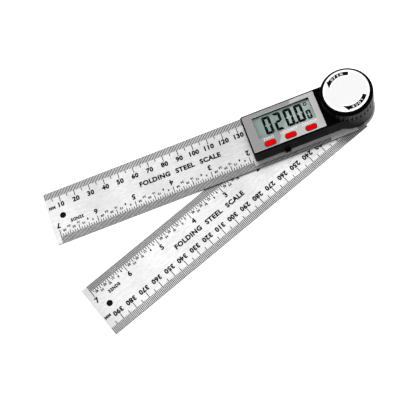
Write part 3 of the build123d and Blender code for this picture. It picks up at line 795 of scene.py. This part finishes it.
def make_knob_print(black, white, field):
    """Printed disc of the knob, its two arrows, and the words set into them."""
    disc_top = disc_high.z - 4 * INK_THICK
    disc = bmesh.new()
    edge = 0.12 * MM
    profile = [
        (0.0, disc_low.z),
        (disc_high.x, disc_low.z),
        (disc_high.x, disc_top - edge),
        (disc_high.x - edge * 0.35, disc_top - edge * 0.35),
        (disc_high.x - edge, disc_top),
        (0.0, disc_top),
    ]
    add_turned(disc, profile, 128)
    piece = finished(disc, "knob_label", white, "lock_knob")
    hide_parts("knob_disc")
    level = disc_top
    shade = bmesh.new()
    add_turned(shade, disc_profile(FIELD_REACH, level), 96)
    finished(shade, "knob_field", field, "lock_knob")
    level += INK_THICK
    tails = ((OPEN_TAIL, 1), (LOCK_TAIL, -1))
    halo = bmesh.new()
    for tail, way in tails:
        add_prism(halo, arrow_outline(tail, way, ARROW_HALO), level, level + INK_THICK)
    finished(halo, "knob_arrow_halo", white, "lock_knob")
    level += INK_THICK
    arrows = bmesh.new()
    for tail, way in tails:
        add_prism(arrows, arrow_outline(tail, way), level, level + INK_THICK)
    finished(arrows, "knob_arrows", black, "lock_knob")
    level += INK_THICK
    words = bmesh.new()
    middle = (ARROW_INNER + ARROW_OUTER) / 2
    for text, (tail, way) in zip(("NEPO", "LOCK"), tails):
        for i, letter in enumerate(text):
            angle = tail + way * (FIRST_LETTER + LETTER_STEP * i)
            turn = angle - math.pi / 2
            spot = polar(middle, angle)
            add_word(words, letter, spot, LETTER_HEIGHT, level, level + INK_THICK, turn, weight=0.01)
    finished(words, "knob_words", white, "lock_knob")


def disc_profile(radius, low):
    """Profile of one thin printed disc."""
    return [(0.0, low), (radius, low), (radius, low + INK_THICK), (0.0, low + INK_THICK)]


def add_turned(mesh, profile, steps):
    """Solid of revolution about the pivot axis, from (radius, height) points; ends on the axis."""
    first = mesh.verts.new((0, 0, profile[0][1]))
    last = mesh.verts.new((0, 0, profile[-1][1]))
    rings = []
    for radius, level in profile[1:-1]:
        spots = [polar(radius, 2 * math.pi * i / steps) for i in range(steps)]
        rings.append([mesh.verts.new((x, y, level)) for x, y in spots])
    for i in range(steps):
        j = (i + 1) % steps
        mesh.faces.new((first, rings[0][j], rings[0][i]))
        mesh.faces.new((last, rings[-1][i], rings[-1][j]))
        for here, there in zip(rings, rings[1:]):
            mesh.faces.new((here[i], here[j], there[j], there[i]))


# ------------------------------------------------------------------ stage and light
def add_softbox(name, place, aim, width, height, power):
    data = bpy.data.lights.new(name, "AREA")
    data.shape = "RECTANGLE"
    data.size = width
    data.size_y = height
    data.energy = power
    light = bpy.data.objects.new(name, data)
    bpy.context.scene.collection.objects.link(light)
    light.location = place
    light.rotation_euler = (Vector(aim) - Vector(place)).to_track_quat("-Z", "Y").to_euler()


def make_stage():
    """White sweep under the object, and an even white sky."""
    size = 3.0
    data = bpy.data.meshes.new("floor")
    corners = [(-size, -size), (size, -size), (size, size), (-size, size)]
    level = cad_low.z - 0.05 * MM
    data.from_pydata([(x, y, level) for x, y in corners], [], [(0, 1, 2, 3)])
    paper = Finish("paper_floor", Specular_IOR_Level=0.1)
    fibre = paper.noise(300, detail=4)
    paper.set("Base Color", paper.mix(fibre, grey(0.93), grey(0.95)))
    paper.set("Roughness", paper.range(fibre, 0.3, 0.7, 0.7, 0.8))
    paper.set("Emission Color", grey(1.0))
    paper.set("Emission Strength", 0.45)
    data.materials.append(paper.material)
    floor = bpy.data.objects.new("floor", data)
    bpy.context.scene.collection.objects.link(floor)
    world = bpy.data.worlds.new("studio")
    world.use_nodes = True
    sky = world.node_tree.nodes["Background"]
    sky.inputs["Color"].default_value = (1, 1, 1, 1)
    sky.inputs["Strength"].default_value = 1.2
    bpy.context.scene.world = world
    bpy.context.scene.view_settings.view_transform = "Standard"


def make_lights(eye):
    add_softbox("key", (-0.34, 0.35, 0.95), (-0.12, -0.03, 0), 0.5, 0.5, 1.2)
    add_softbox("side", (0.55, -0.35, 0.35), (0, 0, 0), 0.35, 0.35, 1.6)
    make_gloss_card(eye)


def make_gloss_card(eye):
    """Small softbox whose straight edge shows as the slanting sheen across the plate."""
    height = 0.9
    edge_start = Vector((-48.7 * MM, plate_low.y, plate_high.z))
    edge_end = Vector((-32.8 * MM, plate_high.y, plate_high.z))

    def mirrored(point):
        share = (height - point.z) / (eye.z - point.z)
        return Vector((point.x, point.y, 0)) + share * Vector((point.x - eye.x, point.y - eye.y, 0))

    start, end = mirrored(edge_start), mirrored(edge_end)
    along = (end - start).normalized()
    across = Vector((along.y, -along.x, 0))
    width, length = 0.13, 0.20
    middle = (start + end) / 2 + across * width / 2
    data = bpy.data.lights.new("gloss_card", "AREA")
    data.shape = "RECTANGLE"
    data.size = width
    data.size_y = length
    data.energy = 0.28
    card = bpy.data.objects.new("gloss_card", data)
    bpy.context.scene.collection.objects.link(card)
    card.matrix_world = Matrix.Translation((middle.x, middle.y, height)) @ Matrix.Rotation(
        math.atan2(across.y, across.x), 4, "Z"
    )


# ------------------------------------------------------------------ assembly
def dress(nodes, material):
    for node in nodes:
        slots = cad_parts[node].data.materials
        slots.clear()
        slots.append(material)


def dress_all():
    # both rulers are one steel; the moving ruler gets the lighter copy: painted light
    dress(["fixed_ruler"], steel_finish("fixed_ruler_steel", 0.0, -1, 1.02, 0.0))
    dress(["moving_ruler"], steel_finish("moving_ruler_steel", REST_TURN, 1, 1.14, 0.4))
    black = (0.0010, 0.0010, 0.0011, 1)
    dress(["housing_shell"], moulded_finish("housing_plastic", black, 0.04, 0.36, roof=0.06))
    dress(["battery_tray"], moulded_finish("tray_plastic", black, 0.04, 0.42, roof=0.3))
    dress(["knob_wheel"], moulded_finish("knob_plastic", black, 0.06, 0.32, roof=0.02))
    dress(["faceplate"], plate_finish())
    dress(["display_window"], pane_finish())
    dress(["lcd_panel"], glass_finish())
    dress(["zero_button", "hold_button", "power_button"], button_finish())
    dress(["main_board"], board_finish())
    pale = (0.62, 0.61, 0.58, 1)
    dress(["lcd_holder"], moulded_finish("holder_plastic", pale, 0.4, 0.45))
    dress(["zebra_strip"], moulded_finish("zebra_rubber", (0.09, 0.06, 0.07, 1), 0.3, 0.6, 6000))
    dress(["controller_chip"], moulded_finish("chip_epoxy", (0.012, 0.012, 0.013, 1), 0.4, 0.5, 5000))
    dress(["board_components"], moulded_finish("component_body", (0.20, 0.14, 0.08, 1), 0.5, 0.35))
    nylon = (0.74, 0.73, 0.68, 1)
    dress(["friction_washer", "thrust_washer"], moulded_finish("washer_polymer", nylon, 0.4, 0.4))
    steel = (0.62, 0.61, 0.60, 1)
    plated = turned_metal_finish("fastener_steel", steel, 0.28)
    dress(["housing_screws", "board_screws", "pivot_stud", "knob_retainer"], plated)
    dress(["coin_cell"], turned_metal_finish("cell_steel", (0.70, 0.70, 0.69, 1), 0.22))
    spring = turned_metal_finish("contact_metal", (0.78, 0.72, 0.56, 1), 0.26)
    dress(["cell_contact_negative", "cell_contact_positive", "tact_switches"], spring)
    brass = turned_metal_finish("brass_turned", (0.72, 0.50, 0.20, 1), 0.25)
    dress(["knob_insert", "rotor_hub", "hub_rivets", "encoder_rotor"], brass)


eye = make_camera()
make_stage()
make_lights(eye)
dress_all()
black_ink = ink_finish("scale_ink", grey(0.001), grey(0.012), sheen=0.03)
make_fixed_scale(black_ink)
make_moving_scale(black_ink)
# black disc set in each open hanging hole: painted shade
hole_shade_black = moulded_finish("hole_shade_paint", (0.0012, 0.0012, 0.0013, 1), 0.05, 0.45)
make_plug("fixed_hole_shade", fixed_low, "fixed_arm", 0.0, hole_shade_black)
make_plug("moving_hole_shade", moving_low, "moving_arm", REST_TURN, hole_shade_black)
make_reading(ink_finish("reading_ink", grey(0.001), grey(0.002), 0.6, 0.01))
make_plate_labels(ink_finish("label_ink", grey(0.6), grey(0.5)))
# dark rings round the buttons: painted shade together with the gap
make_button_outlines(ink_finish("button_shade_ink", grey(0.012), grey(0.03)))
make_knob_print(
    black_ink,
    label_finish("disc_white", 0.84, 0.90),
    label_finish("disc_field", 0.62, 0.68),
)
